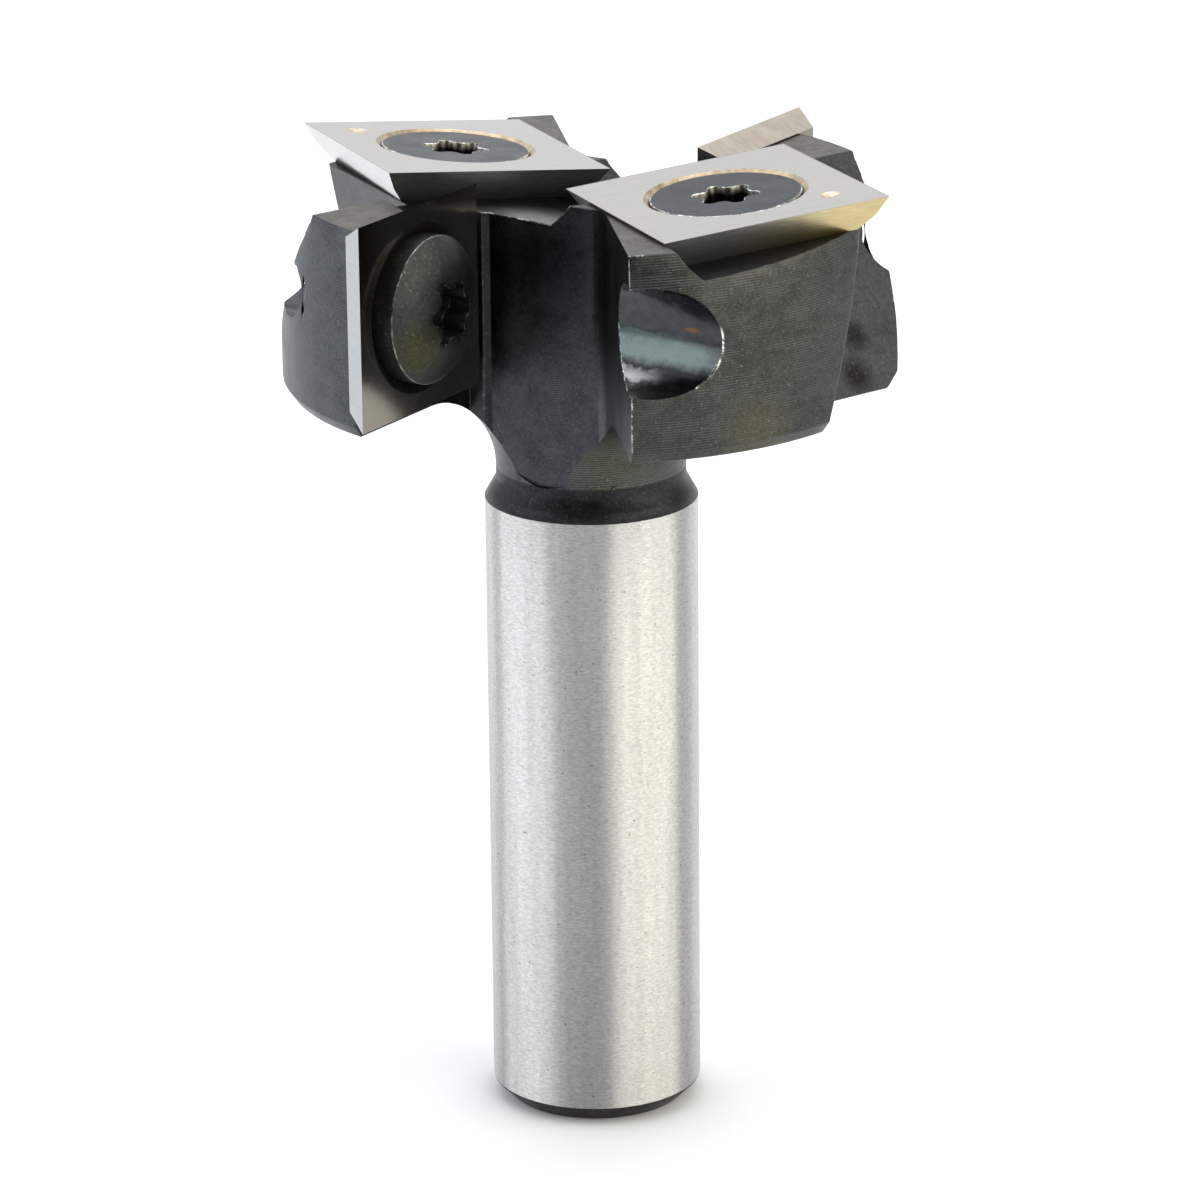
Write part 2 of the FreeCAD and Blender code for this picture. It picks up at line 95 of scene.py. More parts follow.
# The least share of a face's normal that points one way, and the most of a wall's along its hole
LEVEL = 0.95
SQUARE_ON = 0.98
SLANTED = 0.6
OUTWARD = 0.8
BORE_WALL = 0.3
SOCKET_WALL = 0.5

# How far from its place, in millimetres, the middle of a face may lie
SLACK = 0.1

# The photograph's camera: its place in millimetres, its turn in degrees and its lens
CAMERA_PLACE = (162.756, -257.450, 132.671)
CAMERA_TURN = (71.607, 0.52, 32.044)
PHOTO_WIDTH = 1200
FOCAL_PIXELS = 5367.7
SENSOR = 36.0

# The height, in millimetres, that the lights are turned to
AIM_HEIGHT = 40.0


# How a finish is put together

def rgba(colour):
    """A colour's socket as it is, and red, green and blue with a full alpha."""
    return colour if isinstance(colour, bpy.types.NodeSocket) else (*colour, 1)


class Finish:
    """A finish, put together node by node."""

    def __init__(self, name, roughness, metallic=1.0, anisotropic=0.0):
        self.material = bpy.data.materials.new(name)
        self.material.use_nodes = True
        self.tree = self.material.node_tree
        self.shader = self.tree.nodes["Principled BSDF"]
        self.shader.inputs["Metallic"].default_value = metallic
        self.shader.inputs["Roughness"].default_value = roughness
        self.shader.inputs["Anisotropic"].default_value = anisotropic
        self.height = None
        self.base = None

    def node(self, kind, inputs=(), **settings):
        made = self.tree.nodes.new(kind)
        for key, value in settings.items():
            setattr(made, key, value)
        for key, value in dict(inputs).items():
            if isinstance(value, bpy.types.NodeSocket):
                self.tree.links.new(value, made.inputs[key])
            else:
                made.inputs[key].default_value = value
        return made

    def place(self, centre=ORIGIN, turn=NO_TURN, stretch=(1, 1, 1)):
        """Object coordinates in millimetres, centred and turned on a feature, then stretched."""
        where = self.node("ShaderNodeTexCoord").outputs["Object"]
        shift = self.node("ShaderNodeMapping", {"Vector": where, "Location": [-c for c in centre],
                                                "Scale": [1 / MM] * 3})
        turned = self.node("ShaderNodeMapping", {"Vector": shift.outputs[0], "Rotation": turn})
        sized = self.node("ShaderNodeMapping", {"Vector": turned.outputs[0], "Scale": stretch})
        return sized.outputs[0]

    def along(self, vector, axis):
        """One coordinate of a place."""
        return self.node("ShaderNodeSeparateXYZ", {0: vector}).outputs["XYZ".index(axis)]

    def skew(self, vector):
        """X times Y of a place, which a half turn of the bit doesn't change."""
        return self.product(self.along(vector, "X"), self.along(vector, "Y"))

    def distance(self, centre, stretch=(1, 1, 1)):
        """The distance from a centre, in millimetres, each of its axes stretched first."""
        made = self.node("ShaderNodeVectorMath", {0: self.place(centre, stretch=stretch)},
                         operation="LENGTH")
        return made.outputs["Value"]

    def near(self, centre, radius, stretch=(1, 1, 1)):
        """One at a point of the piece, in millimetres, and nothing a radius away from it."""
        return self.between(self.distance(centre, stretch), radius, 0.3 * radius)

    def noise(self, vector, scale, detail, roughness):
        made = self.node("ShaderNodeTexNoise", {"Vector": vector, "Scale": scale, "Detail": detail,
                                                "Roughness": roughness})
        return made.outputs[0]

    def lines(self, vector, pitch, kind="BANDS", distortion=0.6, detail=2.0):
        """Tool lines one pitch apart, in millimetres: bands up Z or rings round it."""
        made = self.node("ShaderNodeTexWave",
                         {"Vector": vector, "Scale": math.pi / 10 / pitch, "Distortion": distortion,
                          "Detail": detail, "Detail Scale": 1.5},
                         wave_type=kind, bands_direction="Z", rings_direction="Z")
        return made.outputs[1]

    def maths(self, operation, a, b=0.0):
        return self.node("ShaderNodeMath", {0: a, 1: b}, operation=operation).outputs[0]

    def product(self, first, *others):
        for other in others:
            first = self.maths("MULTIPLY", first, other)
        return first

    def off(self, value, middle):
        """How far a value lies from a middle one, either way."""
        return self.maths("ABSOLUTE", self.maths("SUBTRACT", value, middle))

    def between(self, value, low, high, to_low=0.0, to_high=1.0):
        """Takes the range from low to high to another one, and goes no further than its ends."""
        made = self.node("ShaderNodeMapRange", {"Value": value, "From Min": low, "From Max": high,
                                                "To Min": to_low, "To Max": to_high})
        return made.outputs[0]

    def blend(self, factor, a, b):
        made = self.node("ShaderNodeMix", {0: factor, 6: rgba(a), 7: rgba(b)}, data_type="RGBA")
        return made.outputs[2]

    def times(self, a, b):
        made = self.node("ShaderNodeMix", {0: 1.0, 6: rgba(a), 7: rgba(b)}, data_type="RGBA",
                         blend_type="MULTIPLY")
        return made.outputs[2]

    def grey(self, value):
        return self.node("ShaderNodeCombineXYZ", {0: value, 1: value, 2: value}).outputs[0]

    def colour(self, socket):
        self.base = socket
        self.tree.links.new(socket, self.shader.inputs["Base Color"])

    def rough(self, value):
        self.tree.links.new(value, self.shader.inputs["Roughness"])

    def relief(self, value, depth, strength):
        """Adds a height, in millimetres, to the surface."""
        inputs = {"Height": value, "Distance": depth * MM, "Strength": strength}
        if self.height is not None:
            inputs["Normal"] = self.height
        self.height = self.node("ShaderNodeBump", inputs).outputs[0]
        self.tree.links.new(self.height, self.shader.inputs["Normal"])

    def grain_round(self):
        """Draws highlights out across grinding lines that run round Z."""
        tangent = self.node("ShaderNodeTangent", direction_type="RADIAL", axis="Z")
        self.tree.links.new(tangent.outputs[0], self.shader.inputs["Tangent"])
        self.shader.inputs["Anisotropic Rotation"].default_value = 0.25


# Finishes of blackened steel

def oxide_skin(name, roughness):
    """A finish with the uneven gloss and fine grain of oxide, and the clouds that it follows."""
    finish = Finish(name, roughness)
    cloud = finish.noise(finish.place(), 0.55, 5.0, 0.6)
    fine = finish.noise(finish.place(), 9.0, 4.0, 0.65)
    finish.rough(finish.between(cloud, 0.25, 0.75, roughness - 0.05, roughness + 0.09))
    finish.relief(fine, 0.006, 0.35)
    return finish, cloud


def blackened(name, dark, light, roughness, specks=0.35, tool=None, cut=None, tint=None, stains_and_painted_light=()):
    """Black oxide on steel: cloudy, with small bright specks where it has been rubbed.
    A tool leaves its lines, cut to a depth and strength. Stains, and patches of painted light, are each a
    place, its radius and its colour; a tint multiplies the colour, and on some finishes it paints light
    and shade."""
    finish, cloud = oxide_skin(name, roughness)
    where = finish.place()
    dust = (0.20, 0.20, 0.185)
    base = finish.blend(finish.between(cloud, 0.3, 0.7), dark, light)
    if tint is not None:
        base = finish.times(base, tint(finish))
    for centre, radius, colour in stains_and_painted_light:
        edge = finish.product(finish.near(centre, radius), finish.between(cloud, 0.2, 0.5, 0.5, 1.0))
        base = finish.blend(edge, base, colour)
    grain = finish.between(finish.noise(where, 4.5, 5.0, 0.8), 0.36, 0.64, 0.74, 1.28)
    base = finish.times(base, finish.grey(grain))
    rubbed_off = finish.between(finish.noise(where, 7.0, 2.0, 0.5), 0.64, 0.72, 0.0, specks)
    base = finish.blend(rubbed_off, base, dust)
    if tool is not None:
        lines = tool(finish)
        base = finish.blend(finish.between(lines, 0.30, 1.0, 0.0, 0.45), base, [2.2 * c for c in light])
        finish.relief(lines, *cut)
    finish.colour(base)
    return finish


def turning_lines(finish):
    """Fine broken lines round the head, as the turning tool left them, and deeper ones below it."""
    lines = finish.lines(finish.place(), 0.15, distortion=0.4, detail=1.0)
    broken = finish.noise(finish.place(stretch=(1, 1, 3)), 0.35, 4.0, 0.7)
    depth = finish.between(finish.along(finish.place(), "Z"), 43.0, 45.5, 1.8, 1.0)
    return finish.product(lines, finish.between(broken, 0.34, 0.60, 0.25, 1.0), depth)


def milling_arcs(finish):
    """The arcs that the end mill left on a gullet's floor as it came up."""
    sag_per_square = 0.11
    where = finish.place((GULLET_MIDDLE, 0, 0))
    across = finish.along(where, "X")
    sag = finish.product(across, across, sag_per_square)
    up = finish.maths("SUBTRACT", finish.along(where, "Z"), sag)
    arc = finish.node("ShaderNodeCombineXYZ", {0: 0.0, 1: 0.0, 2: up}).outputs[0]
    lines = finish.lines(arc, 0.14, distortion=0.7, detail=3.0)
    broken = finish.noise(where, 0.5, 4.0, 0.7)
    return finish.product(lines, finish.between(broken, 0.38, 0.62, 0.10, 1.3))


def two_sided_painted_light(finish):
    """Painted light: lighter and bluish on one wing, as under the cool fill light, and olive on the other,
    as under the warm key light.
    """
    bluish, olive = (1.26, 1.36, 1.45), (1.04, 1.03, 0.91)
    side = finish.between(finish.along(finish.place(), "X"), -6.0, 6.0)
    return finish.blend(side, bluish, olive)


def gullet_painted_shade(finish):
    """Painted shade: a gullet's floor is a little darker at its top and on its insert's side."""
    low, high = (1.28, 1.28, 1.30), (1.20, 1.20, 1.18)
    where = finish.place()
    up = finish.maths("ADD", finish.along(where, "Z"), finish.product(finish.skew(where), 0.12))
    return finish.blend(finish.between(up, 45.0, 52.5), low, high)


def wall_tint(finish):
    """A gullet's leading wall is paler and bluish towards its foot."""
    plain, bluish = (1.0, 1.0, 1.0), (1.9, 2.0, 2.15)
    where = finish.place()
    low = finish.between(finish.along(where, "Z"), 49.5, 45.5)
    leading = finish.between(finish.skew(where), 0.0, -10.0)
    return finish.blend(finish.product(low, leading), plain, bluish)


def bright_crescent(finish):
    """One on the lower lip of the drilled opening's outer mouth, in chips, and nothing elsewhere."""
    axis = (0, -BORE_OFFSET, BORE_HEIGHT)
    where = finish.place(axis)
    off_axis = finish.distance(axis, (0, 1, 1))
    lip = finish.between(off_axis, BORE_RADIUS + 0.13, BORE_RADIUS + 0.05)
    outer = finish.between(finish.along(where, "X"), 13.4, 13.8)
    low = finish.between(finish.off(finish.along(where, "Z"), -0.75), 1.45, 0.9)
    chips = finish.between(finish.noise(where, 3.2, 4.0, 0.7), 0.40, 0.54)
    return finish.product(lip, outer, low, chips)


def turned_black():
    """The head's turned wall and the flare below it, with three stains and a bright crescent
    on the lip of the drilled opening."""
    collar_stain = ((4.5, -4.2, 41.6), 3.4, (0.056, 0.054, 0.033))
    wing_stain = ((16.2, -8.0, 46.3), 3.0, (0.072, 0.070, 0.050))
    corner_stain = ((12.4, -12.3, 55.6), 2.8, (0.022, 0.022, 0.021))
    bright = (0.85, 0.86, 0.86)
    # The tint paints light: one wing lighter and bluish, the other olive.
    finish = blackened("turned_black", (0.036, 0.038, 0.040), (0.058, 0.060, 0.062), 0.38, 0.5,
                       tool=turning_lines, cut=(0.008, 0.5), tint=two_sided_painted_light,
                       stains_and_painted_light=(collar_stain, wing_stain, corner_stain))
    finish.colour(finish.blend(bright_crescent(finish), finish.base, bright))
    return finish.material


def neck_black():
    """The collar and the band above the shank, the blackest of the turned faces."""
    return blackened("neck_black", (0.020, 0.021, 0.022), (0.034, 0.036, 0.037), 0.42).material


def milled_black():
    """A gullet's floor, with painted shade towards its top."""
    return blackened("milled_black", (0.024, 0.026, 0.029), (0.040, 0.044, 0.049), 0.34, 0.3,
                     tool=milling_arcs, cut=(0.006, 0.4), tint=gullet_painted_shade).material


def wall_black():
    """The milled walls of the gullets and seats, scratched, with a patch of painted light by one gullet's
    lip and two dark patches.
    """
    # Painted light: a pale patch by the gullet's lip.
    lip_painted_light = ((-1.3, -4.9, 55.8), 3.6, (0.34, 0.34, 0.33))
    far_dark_patch = ((14.0, 6.9, 48.1), 1.3, (0.012, 0.012, 0.012))
    low_dark_patch = ((15.0, 5.4, 46.2), 1.5, (0.012, 0.012, 0.012))
    finish = blackened("wall_black", (0.028, 0.029, 0.031), (0.045, 0.047, 0.050), 0.36, 0.2,
                       tint=wall_tint, stains_and_painted_light=(lip_painted_light, far_dark_patch, low_dark_patch))
    scratch = finish.noise(finish.place(stretch=(0.5, 0.5, 9.0)), 1.6, 4.0, 0.6)
    finish.relief(scratch, 0.005, 0.35)
    return finish.material


def bore_black():
    """A drilled opening's wall: dull above, with a painted pale reflection band below its middle, a
    painted highlight patch under that, a bottom painted black as shade, and one fleck of rust."""
    finish = Finish("bore_black", 0.24)
    where = finish.place((0, 0, BORE_HEIGHT))
    inward = finish.along(where, "X")
    cloud = finish.noise(where, 1.3, 5.0, 0.65)
    height = finish.maths("ADD", finish.along(where, "Z"), finish.between(cloud, 0.3, 0.7, -0.18, 0.18))
    base = finish.blend(finish.between(cloud, 0.35, 0.65), (0.044, 0.046, 0.050), (0.066, 0.068, 0.072))

    sloped = finish.maths("ADD", height, finish.between(inward, 10.0, 14.5, -0.25, 0.45))
    # Painted reflection: a pale band below the middle.
    painted_reflection_band = finish.product(finish.between(sloped, -0.15, -0.65),
                               finish.between(finish.off(inward, 10.5), 4.6, 3.2))
    base = finish.blend(painted_reflection_band, base, (0.100, 0.126, 0.128))

    # Painted shade: a dark line across the band, and darker below it.
    painted_shade_line = finish.product(finish.between(finish.off(height, -0.20), 0.26, 0.04),
                               finish.between(inward, 12.2, 10.8, 0.0, 0.6))
    base = finish.blend(painted_shade_line, base, (0.024, 0.026, 0.029))
    base = finish.blend(finish.between(height, -1.60, -2.05), base, (0.024, 0.024, 0.026))

    # Painted highlight: a bright patch low down, with a black bottom painted as shade below it.
    painted_highlight_patch = finish.product(finish.between(height, -2.10, -2.35),
                                  finish.between(finish.off(inward, 9.0), 2.8, 0.8))
    base = finish.blend(painted_highlight_patch, base, (0.21, 0.22, 0.23))
    base = finish.blend(finish.between(height, -2.60, -2.75), base, (0.016, 0.016, 0.017))

    pits = finish.between(finish.noise(where, 7.0, 4.0, 0.7), 0.60, 0.68, 0.0, 0.5)
    base = finish.blend(pits, base, (0.02, 0.02, 0.022))
    rust = finish.near((12.97, -9.83, 52.31), 0.55, (1.0, 1.0, 3.0))
    finish.colour(finish.blend(rust, base, (0.17, 0.075, 0.026)))
    finish.rough(finish.between(cloud, 0.3, 0.7, 0.18, 0.32))
    finish.relief(cloud, 0.012, 0.5)
    return finish.material


def ground_top():
    """The wing tops, ground after blackening and browned again."""
    finish, _ = oxide_skin("ground_top", 0.42)
    scratch = finish.noise(finish.place(turn=(0, 0, 0.5), stretch=(0.5, 7.0, 1.0)), 1.6, 5.0, 0.7)
    blotch = finish.noise(finish.place(), 1.6, 6.0, 0.8)
    base = finish.blend(finish.between(blotch, 0.36, 0.62), (0.032, 0.030, 0.027), (0.108, 0.102, 0.091))
    base = finish.blend(finish.between(scratch, 0.45, 0.75, 0.0, 0.45), base, (0.17, 0.165, 0.15))
    finish.colour(base)
    finish.relief(scratch, 0.005, 0.4)
    finish.relief(blotch, 0.03, 0.6)
    return finish.material


def foot_black():
    """The shank's foot, black with some rust."""
    black, rust = (0.028, 0.027, 0.026), (0.16, 0.07, 0.03)
    finish, _ = oxide_skin("foot_black", 0.36)
    rusted = finish.noise(finish.place(), 1.3, 5.0, 0.7)
    finish.colour(finish.blend(finish.between(rusted, 0.56, 0.66, 0.0, 0.8), black, rust))
    return finish.material


def screw_black(number, middle, turn):
    """An end screw's head, with the lathe's faint rings."""
    finish = blackened(f"screw_black_{number}", (0.0100, 0.0128, 0.0155), (0.018, 0.0228, 0.0275),
                       0.31, 0.35)
    finish.shader.inputs["Specular Tint"].default_value = (0.90, 0.92, 0.94, 1)
    rings = finish.lines(finish.place(middle, turn), 0.42, kind="RINGS", distortion=0.3)
    finish.relief(rings, 0.004, 0.5)
    return finish.material


def dome_black():
    """The domed screws' heads, duller, with an olive bloom."""
    bloom = ((-1.52, -15.48, 50.41), 2.4, (0.048, 0.048, 0.026))
    return blackened("dome_black", (0.029, 0.030, 0.031), (0.047, 0.048, 0.048), 0.42, 0.4,
                     stains_and_painted_light=(bloom,)).material


# Finishes of bright steel

def rubbed_corner(name, dark, light, roughness, scale, start, end):
    """Corners that are dark where they keep their oxide and light in broken specks."""
    finish = Finish(name, roughness)
    rub = finish.noise(finish.place(), scale, 5.0, 0.8)
    finish.colour(finish.blend(finish.between(rub, start, end), dark, light))
    return finish.material


def worn_edge():
    """Corners of the head that are rubbed bright."""
    return rubbed_corner("worn_edge", (0.060, 0.062, 0.063), (0.66, 0.66, 0.64), 0.36, 2.6, 0.47, 0.60)


def soft_edge():
    """Corners of the head that still have their oxide, only a little thinned."""
    return rubbed_corner("soft_edge", (0.045, 0.047, 0.048), (0.13, 0.13, 0.125), 0.38, 2.2, 0.52, 0.70)


def screw_rim(name, dark, light):
    """A screw's corners, where the driver and the spanner have been."""
    return rubbed_corner(name, dark, light, 0.32, 1.8, 0.42, 0.62)


def socket_steel(number, middle, turn):
    """An end screw's socket walls, rubbed bright near the mouth and black below."""
    black, bright = (0.010, 0.010, 0.009), (0.36, 0.345, 0.31)
    finish = Finish(f"socket_steel_{number}", 0.34)
    rub = finish.noise(finish.place(), 1.6, 5.0, 0.8)
    depth = finish.along(finish.place(middle, turn), "Z")
    rubbed_off = finish.product(finish.between(depth, -0.60, -0.12),
                                finish.between(rub, 0.36, 0.56, 0.25, 1.0))
    finish.colour(finish.blend(rubbed_off, black, bright))
    return finish.material


def ground_shank():
    """Bright steel, ground round its axis, with fine short scratches, a few pits
    and one pale scratch that runs part of the way round."""
    scratch_height = 13.0
    finish = Finish("ground_shank", 0.45, anisotropic=1.0)
    finish.grain_round()
    height = finish.along(finish.place(), "Z")
    ring = finish.noise(finish.place(stretch=(0.35, 0.35, 14.0)), 1.4, 5.0, 0.7)
    dash = finish.noise(finish.place(stretch=(1.3, 1.3, 4.5)), 2.4, 5.0, 0.8)
    streak = finish.noise(finish.place(stretch=(1.0, 1.0, 0.04)), 0.9, 4.0, 0.6)
    pits = finish.noise(finish.place(stretch=(1, 1, 1.4)), 3.4, 3.0, 0.6)
    base = finish.blend(ring, (0.50, 0.50, 0.50), (0.66, 0.657, 0.65))
    for shade in (finish.between(dash, 0.34, 0.66, 0.72, 1.20),
                  finish.between(streak, 0.3, 0.7, 0.88, 1.08),
                  finish.between(height, 3.0, 38.0, 1.0, 1.20)):
        base = finish.times(base, finish.grey(shade))
    base = finish.blend(finish.between(pits, 0.675, 0.72, 0.0, 0.85), base, (0.12, 0.11, 0.10))
    scratch = finish.product(finish.between(finish.off(height, scratch_height), 0.07, 0.02),
                             finish.between(streak, 0.45, 0.60, 0.0, 0.35))
    finish.colour(finish.blend(scratch, base, (0.85, 0.85, 0.85)))
    finish.rough(finish.between(ring, 0.2, 0.8, 0.41, 0.49))
    finish.relief(dash, 0.004, 0.5)
    return finish.material


# Finishes of carbide

def carbide_face(name, turn, light, roughness, tint=(1.0, 0.985, 0.955), painted_edge_line=None):
    """An insert's ground face, with fine lines along one edge.
    A middle and a turn given for the edge line add a brown line along its cutting edges, painted for the
    light that the edges catch."""
    finish = Finish(name, roughness, anisotropic=0.3)
    lines = finish.noise(finish.place(turn=turn, stretch=(13.0, 0.22, 1.0)), 1.3, 5.0, 0.75)
    cloud = finish.noise(finish.place(), 0.35, 3.0, 0.5)
    tone, low, dull = ([share * light * c for c in tint] for share in (1.0, 0.80, 0.88))
    base = finish.blend(finish.between(lines, 0.3, 0.7), low, tone)
    base = finish.blend(finish.between(cloud, 0.4, 0.7, 0.0, 0.4), base, dull)
    # Painted edge light: a brown line along the cutting edges.
    if painted_edge_line is not None:
        own = finish.place(*painted_edge_line)
        reach = finish.maths("MAXIMUM", finish.off(finish.along(own, "X"), 0.0),
                             finish.off(finish.along(own, "Y"), 0.0))
        edge = finish.between(reach, END_INSERT_REACH - 0.09, END_INSERT_REACH - 0.03, 0.0, 0.8)
        base = finish.blend(edge, base, (0.20, 0.15, 0.095))
    finish.colour(base)
    finish.rough(finish.between(lines, 0.3, 0.7, roughness - 0.04, roughness + 0.05))
    finish.relief(lines, 0.0015, 0.35)
    return finish.material


def carbide_bevel(name, middle, turn, dark, light, roughness=0.30, warm_painted_reflection=None):
    """An insert's ground relief faces, with lines along the cutting edges.
    A painted straw-coloured reflection tints one end of them, and their other end is painted darker."""
    shade = (0.72, 0.73, 0.75)
    finish = Finish(name, roughness)
    lines = finish.noise(finish.place(middle, turn, (1.0, 1.0, 12.0)), 0.9, 4.0, 0.7)
    base = finish.blend(finish.between(lines, 0.3, 0.7), dark, light)
    # Painted reflection: a straw tint at one end, and darker at the other end.
    if warm_painted_reflection is not None:
        end = finish.between(finish.along(finish.place(middle, turn), "Y"), -3.0, 3.5)
        base = finish.blend(end, finish.times(base, shade), finish.times(base, warm_painted_reflection))
    finish.colour(base)
    finish.rough(finish.between(lines, 0.3, 0.7, roughness - 0.03, roughness + 0.04))
    return finish.material


def side_relief_top():
    """The upper relief face of a side insert, browned and ground across."""
    finish = Finish("side_relief_top", 0.42)
    streak = finish.noise(finish.place(stretch=(0.4, 5.0, 0.4)), 2.0, 5.0, 0.75)
    cloud = finish.noise(finish.place(), 0.5, 4.0, 0.6)
    base = finish.blend(finish.between(streak, 0.3, 0.7), (0.27, 0.235, 0.195), (0.46, 0.42, 0.36))
    base = finish.blend(finish.between(cloud, 0.4, 0.65, 0.0, 0.5), base, (0.50, 0.46, 0.41))
    finish.colour(base)
    return finish.material


def carbide_sink(name, dark, light):
    """An unground hollow of an insert, under its screw or in its face, as the furnace left it; the
    near-black colours given under a domed screw are painted shade.
    """
    finish = Finish(name, 0.40)
    cloud = finish.noise(finish.place(), 1.1, 6.0, 0.8)
    finish.colour(finish.blend(finish.between(cloud, 0.35, 0.62), dark, light))
    finish.relief(cloud, 0.01, 0.4)
    return finish.material


# Meshes

def deselect_all():
    """Leaves nothing selected."""
    for other in bpy.context.selected_objects:
        other.select_set(False)


def only(piece):
    """Makes one piece the selected and active one."""
    deselect_all()
    piece.select_set(True)
    bpy.context.view_layer.objects.active = piece


def joined_copy(node, name):
    """A copy of a CAD node whose loose triangles are joined into whole faces."""
    piece = bpy.data.objects.new(name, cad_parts[node].data.copy())
    bpy.context.scene.collection.objects.link(piece)
    piece.data.materials.clear()
    only(piece)
    if piece.data.has_custom_normals:
        bpy.ops.mesh.customdata_custom_splitnormals_clear()
    bpy.ops.object.mode_set(mode="EDIT")
    bpy.ops.mesh.select_all(action="SELECT")
    bpy.ops.mesh.remove_doubles(threshold=SAME_CORNER * MM)
    bpy.ops.mesh.dissolve_limited(angle_limit=SAME_PLANE)
    bpy.ops.object.mode_set(mode="OBJECT")
    return piece


def paint(piece, rules, over=None):
    """Gives each face the first finish whose rule fits the face's middle (mm) and normal.
    With a finish to paint over, the faces of other finishes stay as they are."""
    for finish, _ in rules:
        if finish.name not in piece.data.materials:
            piece.data.materials.append(finish)
    slots = {material.name: i for i, material in enumerate(piece.data.materials)}
    for face in piece.data.polygons:
        if over is not None and face.material_index != slots[over.name]:
            continue
        middle = face.center / MM
        for finish, fits in rules:
            if fits(middle, face.normal):
                face.material_index = slots[finish.name]
                break


def everywhere(point, normal):
    """The rule of the finish that takes what the others leave."""
    return True


def way_to(point, start, end):
    """The shortest way from a point to a line that ends at two places."""
    foot, share = intersect_point_line(point, start, end)
    return start.lerp(end, min(max(share, 0.0), 1.0)) - point


def narrowest(edge, face):
    """The shortest way straight across a face, from one of its edges to one that it doesn't touch."""
    straight_across = 0.7
    a, b = (vertex.co for vertex in edge.verts)
    heading = (b - a).normalized()
    shortest = math.inf
    for other in face.edges:
        if other == edge or set(other.verts) & set(edge.verts):
            continue
        c, d = (vertex.co for vertex in other.verts)
        for way in (way_to(a, c, d), way_to(b, c, d), way_to(c, a, b), way_to(d, a, b)):
            if abs(way.dot(heading)) < straight_across * way.length:
                shortest = min(shortest, way.length)
    return shortest


def has_room(edge, sharp, width):
    """True if the mesh beside a sharp edge leaves room to take its corner off."""
    room = 2.2 * width
    straight_on = math.radians(140)
    least_area = 1.2 * width * edge.calc_length()
    if any(face.calc_area() < least_area or narrowest(edge, face) < room for face in edge.link_faces):
        return False
    for vertex in edge.verts:
        for other in vertex.link_edges:
            bend = (edge.other_vert(vertex).co - vertex.co).angle(
                other.other_vert(vertex).co - vertex.co, 0.0)
            runs_on = other in sharp and bend > straight_on
            if other != edge and not runs_on and other.calc_length() < room:
                return False
    return True


def round_edges(piece, width, edge_finish, angle=30, chosen=None):
    """Takes the sharpness off a machined piece's edges, or off those whose middle (mm) is chosen."""
    shape = bmesh.new()
    shape.from_mesh(piece.data)
    weight = shape.edges.layers.float.get("bevel_weight_edge")
    if weight is None:
        weight = shape.edges.layers.float.new("bevel_weight_edge")
    sharp = {edge for edge in shape.edges
             if len(edge.link_faces) == 2 and edge.calc_face_angle() > math.radians(angle)}
    for edge in shape.edges:
        edge[weight] = 0.0
    for edge in sharp:
        middle = (edge.verts[0].co + edge.verts[1].co) / 2 / MM
        edge[weight] = float((chosen is None or chosen(middle)) and has_room(edge, sharp, width * MM))
    shape.to_mesh(piece.data)
    shape.clear()
    if edge_finish.name not in piece.data.materials:
        piece.data.materials.append(edge_finish)
    bevel = piece.modifiers.new("edge", "BEVEL")
    bevel.width = width * MM
    bevel.segments = ROUNDING_STEPS
    bevel.limit_method = "WEIGHT"
    bevel.use_clamp_overlap = False
    bevel.material = piece.data.materials.find(edge_finish.name)
    only(piece)
    bpy.ops.object.modifier_apply(modifier="edge")
    shape.from_mesh(piece.data)
    bmesh.ops.remove_doubles(shape, verts=shape.verts, dist=FOLD * MM)
    shape.to_mesh(piece.data)
    shape.free()


def smooth(piece, angle=35):
    """Shades a piece smooth, with its flat faces flat, up to an angle between faces."""
    only(piece)
    bpy.ops.object.shade_smooth_by_angle(angle=math.radians(angle))
    weighted = piece.modifiers.new("normals", "WEIGHTED_NORMAL")
    weighted.keep_sharp = True
    weighted.weight = 100
    bpy.ops.object.modifier_apply(modifier="normals")


def hand_over(piece, node):
    """Hides a CAD node and puts the piece that stands in its place on the part's one body."""
    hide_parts(node)
    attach(piece, "root")


# The body

def radius_of(point):
    return math.hypot(point.x, point.y)


def on_foot(point, normal):
    return point.z < SHANK_BOTTOM


def on_shank(point, normal):
    return point.z < SHANK_TOP


def on_neck_band(point, normal):
    return point.z < NECK_BAND_TOP


def in_bore(point, normal):
    """True on the wall of either drilled opening behind the side inserts' screws."""
    side = -1 if point.y < 0 else 1
    off_axis = math.hypot(point.y - side * BORE_OFFSET, point.z - BORE_HEIGHT)
    return off_axis < BORE_RADIUS + SLACK and abs(normal.x) < BORE_WALL


def on_wing_top(point, normal):
    return normal.z > LEVEL and point.z > HEAD_TOP - SLACK


def on_gullet_floor(point, normal):
    return abs(normal.y) > LEVEL and abs(abs(point.y) - GULLET_FLOOR) < SLACK


def on_gullet_corner(point, normal):
    """True on the upright strips beside the neck that face halfway between X and Y."""
    tolerance = 0.02
    halfway = abs(abs(normal.x) - abs(normal.y)) < tolerance
    return halfway and abs(normal.z) < tolerance and radius_of(point) < NECK_STRIP_RADIUS


def on_turned_wall(point, normal):
    """True on the head's turned wall, on its chamfer and on the flare below."""
    outward = normal.x * point.x + normal.y * point.y
    on_wall = radius_of(point) > HEAD_WALL_RADIUS and outward > OUTWARD * radius_of(point)
    return on_wall or below_wall(point, normal)


def below_wall(point, normal):
    return point.z < HEAD_CHAMFER_TOP


